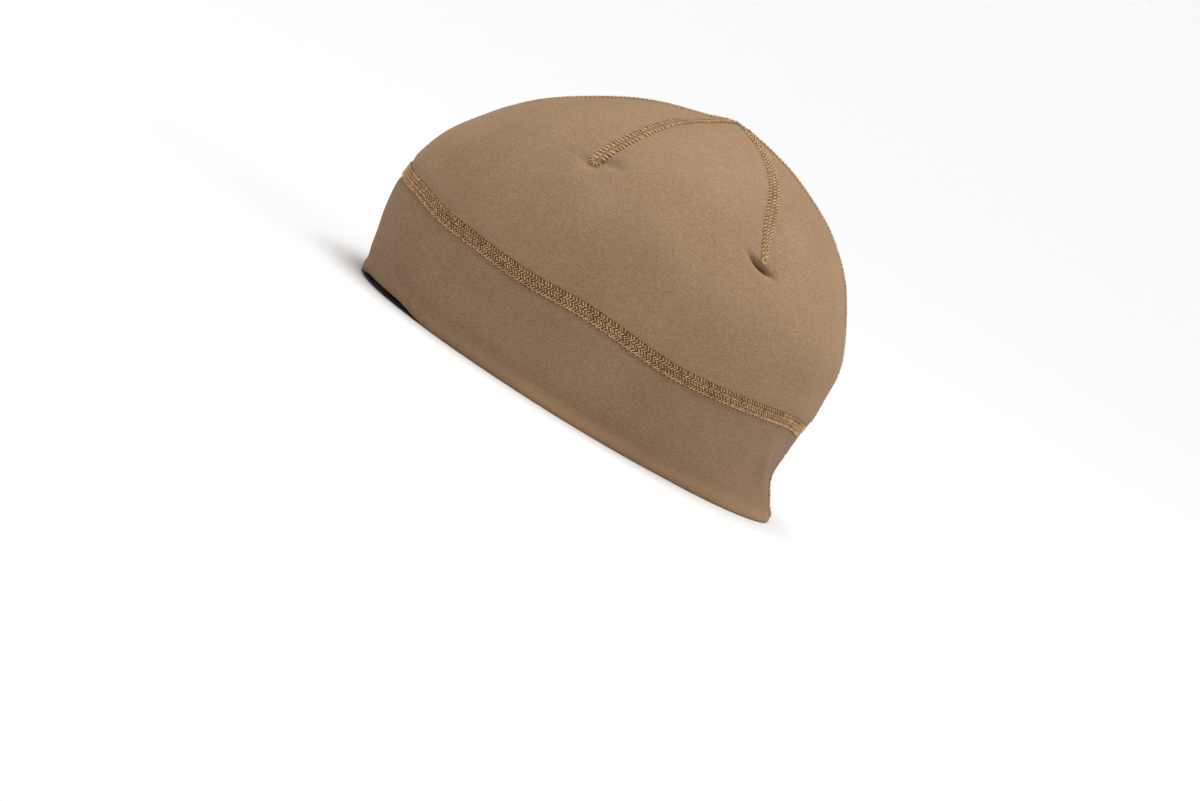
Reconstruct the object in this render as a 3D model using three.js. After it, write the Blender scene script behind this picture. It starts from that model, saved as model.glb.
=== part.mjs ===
// Beanie: a stretch-jersey skull cap with a wide doubled band, a darted crown and flat stitched seams.
// Millimetres. +Z is up, the front faces -Y and the wearer's left is +X.
// The cap stands on its rim. The origin is on the floor, midway along its length and width.
// A turn is a plan direction round the peak, in degrees, from the front towards the wearer's left.

import * as THREE from 'three';

// Driving sizes of the whole cap
const capLength = 204;
const capWidth = 158;
const capHeight = 133;

// Cloth walls
const crownWall = 1.4;
const bandWall = 2.6;
const hemRound = 0.8;
const hemRoundLimit = 0.4;

// Stitched seams
const bandSeamHeight = 41.6;
const bandSeamWidth = 6;
const bandSeamThickness = 0.9;
const crownSeamWidth = 5.8;
const crownSeamThickness = 0.9;
const seamClearance = 0.3;

// Beds that the seams pull into the cloth
const bandSeamBed = 0.6;
const bandBedReach = 7;
const crownSeamBed = 0.35;
const crownBedReach = 7.5;
const bedMargin = 0.4;
const panelSwell = 0.3;
const tipFade = 7;
const napeSeamEnd = 2.2;

// Levels of the outline, from the rim to the peak. rise is a share of capHeight, front and back are
// shares of capLength from the upright line through the peak, and side is a share of half of capWidth.
// nose and nape are the exponents of the level's oval before and behind that line: 2 is an ellipse,
// less is more pointed, and more is fuller at the corners.
const outlineRows = [
  { rise: 0, front: 0.482, back: 0.4823, side: 0.942, nose: 2.25, nape: 1.78 },
  { rise: 0.034, front: 0.4875, back: 0.476, side: 0.946, nose: 2.22, nape: 1.8 },
  { rise: 0.075, front: 0.493, back: 0.458, side: 0.952, nose: 2.18, nape: 1.85 },
  { rise: 0.127, front: 0.4993, back: 0.4406, side: 0.96, nose: 2.12, nape: 1.92 },
  { rise: 0.187, front: 0.5088, back: 0.439, side: 0.972, nose: 2.06, nape: 1.98 },
  { rise: 0.261, front: 0.516, back: 0.4415, side: 0.985, nose: 2.02, nape: 2 },
  { rise: 0.346, front: 0.5155, back: 0.4485, side: 0.995, nose: 2, nape: 2 },
  { rise: 0.428, front: 0.504, back: 0.4465, side: 1, nose: 2, nape: 2 },
  { rise: 0.507, front: 0.4828, back: 0.443, side: 0.986, nose: 2, nape: 2 },
  { rise: 0.6015, front: 0.4387, back: 0.42, side: 0.937, nose: 2, nape: 2 },
  { rise: 0.684, front: 0.3936, back: 0.3895, side: 0.858, nose: 2, nape: 2 },
  { rise: 0.752, front: 0.3456, back: 0.3595, side: 0.776, nose: 2, nape: 2 },
  { rise: 0.812, front: 0.29, back: 0.3216, side: 0.676, nose: 2, nape: 2 },
  { rise: 0.872, front: 0.2272, back: 0.2711, side: 0.554, nose: 2, nape: 2 },
  { rise: 0.932, front: 0.141, back: 0.1936, side: 0.386, nose: 2, nape: 2 },
  { rise: 0.963, front: 0.0735, back: 0.1397, side: 0.2595, nose: 2, nape: 2 },
  { rise: 0.989, front: 0.0245, back: 0.0637, side: 0.12, nose: 2, nape: 2 },
  { rise: 1, front: 0, back: 0, side: 0, nose: 2, nape: 2 },
];

// Seams of the crown. tip is the rise of the lower end, as a share of capHeight, and a seam with a
// tip of 0 runs on to the rim. The turns are those of the tip, of halfway up and of the peak.
// topWidth and tipWidth are shares of crownSeamWidth, and the width has changed from one to the other
// by widthEase of the way up.
const widthEase = 0.45;
const crownSeams = [
  {
    name: 'front',
    tip: 0.705, tipTurn: 0, midTurn: 0, topTurn: 0, topWidth: 1, tipWidth: 1,
  },
  {
    name: 'left_front_seam',
    tip: 0.7077, tipTurn: 55.1, midTurn: 53.8, topTurn: 51, topWidth: 1, tipWidth: 1.06,
  },
  {
    name: 'left_rear_seam',
    tip: 0.7173, tipTurn: 125.3, midTurn: 128.2, topTurn: 144.3, topWidth: 1.04, tipWidth: 0.52,
  },
  {
    name: 'back',
    tip: 0, tipTurn: 180, midTurn: 180, topTurn: 180, topWidth: 1, tipWidth: 1,
  },
  {
    name: 'right_rear_seam',
    tip: 0.7173, tipTurn: 234.7, midTurn: 231.8, topTurn: 215.7, topWidth: 1.04, tipWidth: 0.52,
  },
  {
    name: 'right_front_seam',
    tip: 0.7077, tipTurn: 304.9, midTurn: 306.2, topTurn: 309, topWidth: 1, tipWidth: 1.06,
  },
];

// How the band seam wanders up and down on the way round, on both sides alike. lift is a share of
// bandSeamWidth.
const bandSeamWaves = [
  { turn: 0, lift: 0.58 },
  { turn: 17, lift: 0.42 },
  { turn: 36, lift: -0.06 },
  { turn: 60, lift: -0.18 },
  { turn: 84, lift: 0.14 },
  { turn: 113, lift: -0.22 },
  { turn: 157, lift: 0.34 },
  { turn: 180, lift: -0.24 },
];

// Where the hem arches clear of the floor beside the forehead, on both sides alike. lift is a share
// of bandSeamHeight.
const hemWaves = [
  { turn: 4, lift: 0 },
  { turn: 18, lift: 0.06 },
  { turn: 31, lift: 0.06 },
  { turn: 45, lift: 0 },
  { turn: 180, lift: 0 },
];

// Dimples of the cloth below the darts' tips, on both sides alike. turn and rise place the middle,
// and halfLength, halfHeight and depth are in the units of crownSeamWidth. tilt is in degrees, and
// more than 0 rises towards the back.
const dimpleRows = [
  { turn: 60.3, rise: 0.718, halfLength: 0.9, halfHeight: 0.36, depth: 0.24, tilt: 14 },
  { turn: 54.5, rise: 0.686, halfLength: 0.9, halfHeight: 0.36, depth: 0.2, tilt: 0 },
  { turn: 124.3, rise: 0.698, halfLength: 1.1, halfHeight: 0.34, depth: 0.4, tilt: -14 },
];

// Soft folds of the band, on both sides alike, from one place to another. rises are shares of
// bandSeamHeight, and reach and lift are shares of bandSeamWidth.
const foldRows = [
  { turn: 160, rise: 0.62, endTurn: 174, endRise: 0.16, reach: 0.6, lift: 0.17 },
  { turn: 40, rise: 0.1, endTurn: 28, endRise: 0.55, reach: 2.2, lift: -0.12 },
  { turn: 128, rise: 0.1, endTurn: 136, endRise: 0.6, reach: 2.4, lift: -0.14 },
  { turn: 84, rise: 0.05, endTurn: 88, endRise: 0.5, reach: 2.6, lift: 0.1 },
];

// Section of a stitched seam: across is a share of its width, out is a share of its thickness.
const seamSection = [
  { across: -0.5, out: 0 },
  { across: -0.5, out: 0.6 },
  { across: -0.32, out: 1 },
  { across: 0, out: 0.8 },
  { across: 0.32, out: 1 },
  { across: 0.5, out: 0.6 },
  { across: 0.5, out: 0 },
];

// Levels where the walls have vertices: shares of the way from the band seam's bed to the peak, and
// of the way from the hem to the band seam's bed.
const crownLevels = [
  0, 0.05, 0.12, 0.19, 0.26, 0.32, 0.36, 0.395, 0.43, 0.47, 0.53, 0.6, 0.67, 0.745, 0.815, 0.88,
  0.94, 0.98,
];
const bandLevels = [0, 0.08, 0.17, 0.26, 0.36, 0.48, 0.6, 0.73, 0.87, 1];
const hemSteps = 3;
const shortPanelColumns = 7;
const longPanelColumns = 10;
const longPanelTurn = 62;
const seamStep = 4;
const probeTurn = 0.5;
const probeShare = 0.002;
const halvings = 40;
const reachSamples = 400;
const smallestReach = 1e-6;

// Small arithmetic
const quarterTurn = 90;
const halfTurn = 180;
const fullTurn = 360;
const {
  clamp, degToRad, lerp, radToDeg, smoothstep,
} = THREE.MathUtils;

function foldedTurn(turn) {
  const wrapped = ((turn % fullTurn) + fullTurn) % fullTurn;
  return Math.min(wrapped, fullTurn - wrapped);
}

function turnBetween(from, to) {
  return ((to - from + fullTurn + halfTurn) % fullTurn) - halfTurn;
}

function placeWhere(passed) {
  let low = 0;
  let high = 1;
  for (let i = 0; i < halvings; i += 1) {
    const middle = (low + high) / 2;
    if (passed(middle)) {
      high = middle;
    } else {
      low = middle;
    }
  }
  return high;
}

function blendedColumn(rows, turn, column) {
  const last = rows.findIndex((row) => row.turn >= turn);
  if (last < 1) {
    return rows[Math.max(last, 0)][column];
  }
  const from = rows[last - 1];
  const to = rows[last];
  return lerp(from[column], to[column], smoothstep(turn, from.turn, to.turn));
}

// Natural cubic curve through one column of a table
function splineThrough(places, values) {
  const count = places.length;
  const bends = new Array(count).fill(0);
  const shares = new Array(count).fill(0);
  for (let i = 1; i < count - 1; i += 1) {
    const before = places[i] - places[i - 1];
    const after = places[i + 1] - places[i];
    const share = before / (before + after);
    const divisor = share * shares[i - 1] + 2;
    const rise = (values[i + 1] - values[i]) / after - (values[i] - values[i - 1]) / before;
    shares[i] = (share - 1) / divisor;
    bends[i] = ((6 * rise) / (before + after) - share * bends[i - 1]) / divisor;
  }
  for (let i = count - 2; i > 0; i -= 1) {
    bends[i] += shares[i] * bends[i + 1];
  }
  return (place) => {
    const found = places.findIndex((value) => value >= place);
    const right = clamp(found < 0 ? count - 1 : found, 1, count - 1);
    const width = places[right] - places[right - 1];
    const a = (places[right] - place) / width;
    const b = 1 - a;
    const sag = (a ** 3 - a) * bends[right - 1] + (b ** 3 - b) * bends[right];
    return a * values[right - 1] + b * values[right] + (sag * width * width) / 6;
  };
}

// The outline's sizes at a station, from 0 at the rim to 1 at the peak, spaced along the side
const outlinePlaces = outlineRows.map(() => 0);
for (let i = 1; i < outlineRows.length; i += 1) {
  const run = ((outlineRows[i].side - outlineRows[i - 1].side) * capWidth) / 2;
  const climb = (outlineRows[i].rise - outlineRows[i - 1].rise) * capHeight;
  outlinePlaces[i] = outlinePlaces[i - 1] + Math.hypot(run, climb);
}
const outlineSpan = outlinePlaces[outlinePlaces.length - 1];

function outlineCurve(column, size) {
  const curve = splineThrough(outlinePlaces, outlineRows.map((row) => row[column] * size));
  return (station) => curve(station * outlineSpan);
}

const heightAt = outlineCurve('rise', capHeight);
const frontAt = outlineCurve('front', capLength);
const backAt = outlineCurve('back', capLength);
const sideAt = outlineCurve('side', capWidth / 2);
const noseAt = outlineCurve('nose', 1);
const napeAt = outlineCurve('nape', 1);

// The origin lies midway between the band seam's front and the nape
function furthest(curve) {
  let reach = 0;
  for (let i = 0; i <= reachSamples; i += 1) {
    reach = Math.max(reach, curve(i / reachSamples));
  }
  return reach;
}

const seamStand = seamClearance + bandSeamThickness - bandSeamBed;
const peakSetback = (furthest(frontAt) + seamStand - furthest(backAt)) / 2;

function stationAtHeight(height) {
  return placeWhere((station) => heightAt(station) > height);
}

function planRadius(turn, station) {
  const ahead = Math.cos(degToRad(turn));
  const aside = Math.abs(Math.sin(degToRad(turn)));
  const reach = Math.max(ahead > 0 ? frontAt(station) : backAt(station), smallestReach);
  const power = ahead > 0 ? noseAt(station) : napeAt(station);
  const width = Math.max(sideAt(station), smallestReach);
  return ((Math.abs(ahead) / reach) ** power + (aside / width) ** power) ** (-1 / power);
}

function basePoint(turn, station) {
  const radius = station >= 1 ? 0 : planRadius(turn, station);
  const x = radius * Math.sin(degToRad(turn));
  const y = peakSetback - radius * Math.cos(degToRad(turn));
  return new THREE.Vector3(x, y, heightAt(station));
}

function outwardAt(turn, station) {
  if (station >= 1) {
    return new THREE.Vector3(0, 0, 1);
  }
  const below = basePoint(turn, Math.max(station - probeShare, 0));
  const above = basePoint(turn, Math.min(station + probeShare, 1));
  const before = basePoint(turn - probeTurn, station);
  const after = basePoint(turn + probeTurn, station);
  return after.sub(before).cross(above.sub(below)).normalize();
}

// Relief of the cloth, in millimetres along its outward normal
function bandSeamLevel(turn) {
  const lift = blendedColumn(bandSeamWaves, foldedTurn(turn), 'lift');
  return bandSeamHeight + lift * bandSeamWidth;
}

function hemLevel(turn) {
  return blendedColumn(hemWaves, foldedTurn(turn), 'lift') * bandSeamHeight;
}

function seamShare(seam, height) {
  return clamp((height / capHeight - seam.tip) / (1 - seam.tip), 0, 1);
}

function seamWidthAt(seam, height) {
  const share = Math.min(seamShare(seam, height) / widthEase, 1);
  return crownSeamWidth * lerp(seam.tipWidth, seam.topWidth, share);
}

// The seam's turn at a height: a parabola through the tip's, the middle's and the peak's
function seamTurnAt(seam, height) {
  const share = seamShare(seam, height);
  const straight = lerp(seam.tipTurn, seam.topTurn, share);
  const bow = seam.midTurn - (seam.tipTurn + seam.topTurn) / 2;
  return straight + 4 * bow * share * (1 - share);
}

function crownBedAt(turn, radius, height) {
  let bed = 0;
  for (const seam of crownSeams) {
    const away = turnBetween(seamTurnAt(seam, height), turn);
    const aside = Math.abs(radius * Math.sin(degToRad(away)));
    const distance = Math.abs(away) < quarterTurn ? aside : radius;
    const bedEdge = seamWidthAt(seam, height) / 2 + bedMargin;
    const across = 1 - smoothstep(distance, bedEdge, crownBedReach);
    const tipHeight = seam.tip * capHeight;
    const along = seam.tip > 0 ? smoothstep(height, tipHeight - tipFade, tipHeight) : 1;
    bed = Math.max(bed, across * along);
  }
  return bed;
}

function dimpleAt(turn, radius, height) {
  let depth = 0;
  for (const row of dimpleRows) {
    const sideways = radius * Math.sin(degToRad(foldedTurn(turn) - row.turn));
    const upward = height - row.rise * capHeight;
    const tilt = degToRad(row.tilt);
    const along = sideways * Math.cos(tilt) + upward * Math.sin(tilt);
    const across = upward * Math.cos(tilt) - sideways * Math.sin(tilt);
    const spread = (along / row.halfLength) ** 2 + (across / row.halfHeight) ** 2;
    depth += row.depth * crownSeamWidth * Math.exp(-spread / crownSeamWidth ** 2);
  }
  return depth;
}

function foldAt(turn, radius, height) {
  let lift = 0;
  for (const row of foldRows) {
    const runAlong = radius * degToRad(row.endTurn - row.turn);
    const runUp = (row.endRise - row.rise) * bandSeamHeight;
    const along = radius * degToRad(foldedTurn(turn) - row.turn);
    const up = height - row.rise * bandSeamHeight;
    const share = clamp((along * runAlong + up * runUp) / (runAlong ** 2 + runUp ** 2), 0, 1);
    const distance = Math.hypot(along - share * runAlong, up - share * runUp);
    const spread = (distance / (row.reach * bandSeamWidth)) ** 2;
    lift += row.lift * bandSeamWidth * Math.exp(-spread);
  }
  return lift;
}

function reliefAt(turn, station) {
  const radius = planRadius(turn, Math.min(station, 1));
  const height = heightAt(station);
  const seamLevel = bandSeamLevel(turn);
  const seamDistance = Math.abs(height - seamLevel);
  const seamEdge = bandSeamWidth / 2 + bedMargin;
  const bandBed = bandSeamBed * (1 - smoothstep(seamDistance, seamEdge, bandBedReach));
  const inCrown = smoothstep(height, seamLevel, seamLevel + bandBedReach);
  const crownBed = crownBedAt(turn, radius, height);
  const swell = panelSwell * (1 - crownBed) * inCrown;
  const pinch = Math.max(bandBed, crownSeamBed * crownBed);
  const folds = foldAt(turn, radius, height) * (1 - inCrown);
  return swell + folds - pinch - dimpleAt(turn, radius, height);
}

// A point of the cloth, depth millimetres below its outer face
function clothPoint(turn, station, depth) {
  const point = basePoint(turn, station);
  return point.addScaledVector(outwardAt(turn, station), reliefAt(turn, station) - depth);
}

// The same for the band, where the depth is level, so that the rim stays flat
function bandPoint(turn, height, depth) {
  const station = stationAtHeight(height);
  const outward = outwardAt(turn, station).setZ(0).normalize();
  const point = basePoint(turn, station).setZ(height);
  return point.addScaledVector(outward, reliefAt(turn, station) - depth);
}

// Columns of vertices, which crowd beside the seams
function columnTurns(station) {
  const radius = planRadius(quarterTurn, station);
  const seamTurns = crownSeams.map((seam) => seamTurnAt(seam, heightAt(station)));
  const turns = [];
  seamTurns.forEach((start, index) => {
    const next = seamTurns[(index + 1) % seamTurns.length];
    const panel = (next - start + fullTurn) % fullTurn;
    const count = panel > longPanelTurn ? longPanelColumns : shortPanelColumns;
    const edge = crownSeamWidth / 2 + 2 * bedMargin;
    const edgeTurn = Math.min(radToDeg(edge / radius), panel / (count + 2));
    turns.push(start);
    for (let i = 0; i <= count; i += 1) {
      turns.push(start + lerp(edgeTurn, panel - edgeTurn, i / count));
    }
  });
  return turns;
}

// Closed solids from rings of points
function solidFrom(points, faces) {
  let volume = 0;
  for (const [a, b, c] of faces) {
    volume += points[a].dot(new THREE.Vector3().crossVectors(points[b], points[c]));
  }
  const outward = volume > 0 ? faces : faces.map(([a, b, c]) => [a, c, b]);
  const geometry = new THREE.BufferGeometry();
  const places = points.flatMap((point) => point.toArray());
  geometry.setAttribute('position', new THREE.Float32BufferAttribute(places, 3));
  geometry.setIndex(outward.flat());
  geometry.computeVertexNormals();
  return geometry;
}

function skinFaces(ringCount, size, closed) {
  const faces = [];
  const lastRing = closed ? ringCount : ringCount - 1;
  for (let ring = 0; ring < lastRing; ring += 1) {
    const here = ring * size;
    const next = ((ring + 1) % ringCount) * size;
    for (let i = 0; i < size; i += 1) {
      const j = (i + 1) % size;
      faces.push([here + i, here + j, next + j], [here + i, next + j, next + i]);
    }
  }
  return faces;
}

function loopSolid(rings) {
  return solidFrom(rings.flat(), skinFaces(rings.length, rings[0].length, true));
}

function cappedSolid(rings, firstPole, lastPole) {
  const size = rings[0].length;
  const points = [...rings.flat(), firstPole, lastPole];
  const faces = skinFaces(rings.length, size, false);
  const first = points.length - 2;
  const last = points.length - 1;
  const lastStart = (rings.length - 1) * size;
  for (let i = 0; i < size; i += 1) {
    const j = (i + 1) % size;
    faces.push([first, j, i], [last, lastStart + i, lastStart + j]);
  }
  return solidFrom(points, faces);
}

// Cloth pieces
function crownGeometry() {
  const bedEdge = bandSeamWidth / 2 + bedMargin;
  const ringAbove = (rise, level, depth) => {
    const turns = columnTurns(lerp(stationAtHeight(bandSeamHeight + rise), 1, level));
    return turns.map((turn) => {
      const start = stationAtHeight(bandSeamLevel(turn) + rise);
      return clothPoint(turn, lerp(start, 1, level), depth);
    });
  };
  const ringsAt = (depth) => [
    ringAbove(seamClearance / 2, 0, depth),
    ...crownLevels.map((level) => ringAbove(bedEdge, level, depth)),
  ];
  const rings = [...ringsAt(0).reverse(), ...ringsAt(crownWall)];
  return cappedSolid(rings, clothPoint(0, 1, 0), clothPoint(0, 1, crownWall));
}

function bandGeometry() {
  const turns = columnTurns(0);
  const round = Math.min(hemRound, bandWall * hemRoundLimit);
  const bedEdge = bandSeamWidth / 2 + bedMargin;
  const ringAt = (share, depth) => turns.map((turn) => {
    const top = bandSeamLevel(turn) - bedEdge;
    return bandPoint(turn, lerp(hemLevel(turn) + round, top, share), depth);
  });
  const topRing = (depth) => turns.map((turn) => {
    return bandPoint(turn, bandSeamLevel(turn) - seamClearance / 2, depth);
  });
  const wallRings = (depth) => [...bandLevels.map((share) => ringAt(share, depth)), topRing(depth)];
  const hemRing = (height, depth) => turns.map((turn) => {
    return bandPoint(turn, hemLevel(turn) + height, depth);
  });
  const outerHem = [];
  for (let i = 1; i <= hemSteps; i += 1) {
    const angle = (Math.PI / 2) * (i / hemSteps);
    outerHem.push([round * (1 - Math.sin(angle)), round * (1 - Math.cos(angle))]);
  }
  const innerHem = [...outerHem].reverse().map(([height, depth]) => [height, bandWall - depth]);
  const hemRings = [...outerHem, ...innerHem].map(([height, depth]) => hemRing(height, depth));
  return loopSolid([...wallRings(0).reverse(), ...hemRings, ...wallRings(bandWall)]);
}

// Stitched seams
function bandSeamGeometry() {
  const turns = columnTurns(stationAtHeight(bandSeamHeight));
  const rings = seamSection.map(({ across, out }) => turns.map((turn) => {
    const height = bandSeamLevel(turn) + across * bandSeamWidth;
    return bandPoint(turn, height, -seamClearance - out * bandSeamThickness);
  }));
  return loopSolid(rings);
}

function seamStrip(places) {
  const feet = places.map(({ turn, station }) => clothPoint(turn, station, -seamClearance));
  const rings = places.map(({ turn, station, width }, index) => {
    const before = feet[Math.max(index - 1, 0)];
    const after = feet[Math.min(index + 1, feet.length - 1)];
    const along = after.clone().sub(before).normalize();
    const outward = outwardAt(turn, station);
    const across = along.clone().cross(outward).normalize();
    return seamSection.map((row) => feet[index].clone()
      .addScaledVector(across, row.across * width)
      .addScaledVector(outward, row.out * crownSeamThickness));
  });
  const middleOf = (ring) => ring[0].clone().lerp(ring[ring.length - 1], 0.5);
  return cappedSolid(rings, middleOf(rings[0]), middleOf(rings[rings.length - 1]));
}

function seamPlaces(seam, fromStation, toStation) {
  const length = Math.abs(toStation - fromStation) * outlineSpan;
  const steps = Math.max(Math.round(length / seamStep), 2);
  const places = [];
  for (let i = 0; i <= steps; i += 1) {
    const station = lerp(fromStation, toStation, i / steps);
    const height = heightAt(station);
    places.push({ turn: seamTurnAt(seam, height), station, width: seamWidthAt(seam, height) });
  }
  return places;
}

function seamNamed(name) {
  return crownSeams.find((seam) => seam.name === name);
}

function dartGeometry(seam) {
  const apart = degToRad(foldedTurn(seam.topTurn));
  const topHalf = (crownSeamWidth * seam.topWidth) / 2;
  const middleHalf = (crownSeamWidth * seamNamed('front').topWidth) / 2;
  const clear = (middleHalf + seamClearance + topHalf * Math.abs(Math.cos(apart))) / Math.sin(apart);
  const start = placeWhere((station) => planRadius(seam.topTurn, station) < clear);
  return seamStrip(seamPlaces(seam, stationAtHeight(seam.tip * capHeight), start));
}

function middleSeamGeometry() {
  const front = seamNamed('front');
  const back = seamNamed('back');
  const end = bandSeamLevel(back.tipTurn) + bandSeamWidth / 2 + seamClearance;
  const rising = seamPlaces(front, stationAtHeight(front.tip * capHeight), 1);
  const falling = seamPlaces(back, 1, stationAtHeight(end)).slice(1);
  return seamStrip([...rising, ...falling]);
}

function napeSeamGeometry() {
  const back = seamNamed('back');
  const start = bandSeamLevel(back.tipTurn) - bandSeamWidth / 2 - seamClearance;
  return seamStrip(seamPlaces(back, stationAtHeight(start), stationAtHeight(napeSeamEnd)));
}

// Materials and assembly
const crownLook = { color: 0xa8845f, roughness: 0.9, metalness: 0 };
const bandLook = { color: 0x96754f, roughness: 0.9, metalness: 0 };
const threadLook = { color: 0xb28a52, roughness: 0.75, metalness: 0 };

const beanie = new THREE.Group();
beanie.name = 'beanie';

function addPiece(name, geometry, look) {
  const mesh = new THREE.Mesh(geometry, new THREE.MeshStandardMaterial(look));
  mesh.name = name;
  beanie.add(mesh);
}

addPiece('crown', crownGeometry(), crownLook);
addPiece('band', bandGeometry(), bandLook);
addPiece('band_seam', bandSeamGeometry(), threadLook);
addPiece('middle_seam', middleSeamGeometry(), threadLook);
addPiece('nape_seam', napeSeamGeometry(), threadLook);
for (const seam of crownSeams.filter((row) => row.name.endsWith('_seam'))) {
  addPiece(seam.name, dartGeometry(seam), threadLook);
}

export default beanie;
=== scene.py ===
"""Looks of the beanie: two pieces of jersey, the looped stitches of its seams, floor, lights and camera.

Sizes are in millimetres and meshes in metres. +Z is up, the front faces -Y, the wearer's left is +X.
A turn is a plan direction round the peak, in degrees, from the front towards the wearer's left.
A station runs up the side of the cap, from 0 at the rim to 1 at the peak.
"""
import math

import bpy
import numpy as np
from mathutils import Matrix, Vector


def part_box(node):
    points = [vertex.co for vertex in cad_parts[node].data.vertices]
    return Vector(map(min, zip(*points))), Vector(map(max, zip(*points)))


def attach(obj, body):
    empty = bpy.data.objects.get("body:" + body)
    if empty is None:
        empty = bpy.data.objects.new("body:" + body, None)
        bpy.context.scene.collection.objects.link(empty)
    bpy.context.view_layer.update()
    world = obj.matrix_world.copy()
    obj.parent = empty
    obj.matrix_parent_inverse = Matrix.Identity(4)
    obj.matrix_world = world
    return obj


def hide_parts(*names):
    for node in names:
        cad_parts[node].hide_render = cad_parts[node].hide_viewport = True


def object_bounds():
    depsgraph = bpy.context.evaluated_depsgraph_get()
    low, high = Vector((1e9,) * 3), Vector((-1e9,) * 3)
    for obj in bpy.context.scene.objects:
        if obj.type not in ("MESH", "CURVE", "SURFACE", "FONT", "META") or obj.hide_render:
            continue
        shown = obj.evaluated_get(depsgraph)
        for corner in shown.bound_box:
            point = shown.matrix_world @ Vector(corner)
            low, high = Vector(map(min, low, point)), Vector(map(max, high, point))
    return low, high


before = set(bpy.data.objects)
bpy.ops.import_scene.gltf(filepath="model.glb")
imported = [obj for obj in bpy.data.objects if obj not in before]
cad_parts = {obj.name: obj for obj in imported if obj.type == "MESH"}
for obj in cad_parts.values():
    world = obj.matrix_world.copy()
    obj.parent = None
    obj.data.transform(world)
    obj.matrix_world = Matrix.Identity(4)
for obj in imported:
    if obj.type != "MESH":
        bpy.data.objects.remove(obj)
cad_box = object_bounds()

# One millimetre in metres
MM = 0.001

# Levels of the outline, from the rim to the peak, as shares of the cap's height, length and half width,
# and the exponents of the level's oval in front of the peak and behind it
OUTLINE_COLUMNS = ("rise", "front", "back", "side", "nose", "nape")
OUTLINE_ROWS = [
    (0, 0.482, 0.4823, 0.942, 2.25, 1.78),
    (0.034, 0.4875, 0.476, 0.946, 2.22, 1.8),
    (0.075, 0.493, 0.458, 0.952, 2.18, 1.85),
    (0.127, 0.4993, 0.4406, 0.96, 2.12, 1.92),
    (0.187, 0.5088, 0.439, 0.972, 2.06, 1.98),
    (0.261, 0.516, 0.4415, 0.985, 2.02, 2),
    (0.346, 0.5155, 0.4485, 0.995, 2, 2),
    (0.428, 0.504, 0.4465, 1, 2, 2),
    (0.507, 0.4828, 0.443, 0.986, 2, 2),
    (0.6015, 0.4387, 0.42, 0.937, 2, 2),
    (0.684, 0.3936, 0.3895, 0.858, 2, 2),
    (0.752, 0.3456, 0.3595, 0.776, 2, 2),
    (0.812, 0.29, 0.3216, 0.676, 2, 2),
    (0.872, 0.2272, 0.2711, 0.554, 2, 2),
    (0.932, 0.141, 0.1936, 0.386, 2, 2),
    (0.963, 0.0735, 0.1397, 0.2595, 2, 2),
    (0.989, 0.0245, 0.0637, 0.12, 2, 2),
    (1, 0, 0, 0, 2, 2),
]

# Seams of the crown: rise of the lower end, turns of that end, of halfway up and of the peak, and widths
SEAM_COLUMNS = ("name", "tip", "tip_turn", "mid_turn", "top_turn", "top_width", "tip_width")
SEAM_ROWS = [
    ("front", 0.705, 0, 0, 0, 1, 1),
    ("left_front_seam", 0.7077, 55.1, 53.8, 51, 1, 1.06),
    ("left_rear_seam", 0.7173, 125.3, 128.2, 144.3, 1.04, 0.52),
    ("back", 0, 180, 180, 180, 1, 1),
    ("right_rear_seam", 0.7173, 234.7, 231.8, 215.7, 1.04, 0.52),
    ("right_front_seam", 0.7077, 304.9, 306.2, 309, 1, 1.06),
]
CROWN_SEAMS = [dict(zip(SEAM_COLUMNS, row)) for row in SEAM_ROWS]

# Share of a seam's way up over which its width changes from the tip's to the top's
WIDTH_EASE = 0.45

# How the band seam and the hem wander, both sides alike: turn, and lift as a share of the seam's width
# or of its height
BAND_SEAM_WAVES = [
    (0, 0.58), (17, 0.42), (36, -0.06), (60, -0.18), (84, 0.14), (113, -0.22), (157, 0.34), (180, -0.24),
]
HEM_WAVES = [(4, 0), (18, 0.06), (31, 0.06), (45, 0), (180, 0)]

# Dimples of the crown: turn and rise of the middle, half length, half height and depth as shares of the
# crown seam's width, and tilt in degrees
DIMPLES = [
    (60.3, 0.718, 0.9, 0.36, 0.26, 14),
    (54.5, 0.686, 0.9, 0.36, 0.2, 0),
    (124.3, 0.698, 1.1, 0.3, 0.32, -14),
    (124.4, 0.699, 0.9, 0.14, 0.52, -14),
]

# Folds of the band: turn and rise of both ends, then reach and lift as shares of the band seam's width
FOLDS = [
    (160, 0.62, 174, 0.16, 0.6, 0.17),
    (40, 0.1, 28, 0.55, 2.2, -0.12),
    (128, 0.1, 136, 0.6, 2.4, -0.14),
    (84, 0.05, 88, 0.5, 2.6, 0.1),
]

# Soft unevenness of the cloth: waves round the cap, waves up it, phase in degrees, and lift in mm
SOFT_WAVES = [
    (3, 1.3, 20, 0.16),
    (5, 2.1, 130, 0.12),
    (8, 3.2, 250, 0.08),
    (13, 4.7, 75, 0.05),
]

# Each of them also swells and fades up the cap, in this share of its waves up it
SOFT_BEAT = 0.7

# Sizes of the cloth walls, of the seams and of the beds that the seams pull, in mm
CROWN_WALL = 1.4
BAND_WALL = 2.6
BAND_LAYER = 1.2
SEAM_CLEARANCE = 0.3
BAND_SEAM_THICKNESS = 0.9
CROWN_SEAM_WIDTH = 5.8
BAND_SEAM_BED = 0.6
BAND_BED_REACH = 7
CROWN_SEAM_BED = 0.35
CROWN_BED_REACH = 7.5
BED_MARGIN = 0.4
PANEL_SWELL = 0.3
TIP_FADE = 7
NAPE_SEAM_END = 2.2
MITRE_GAP = 0.25

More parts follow.
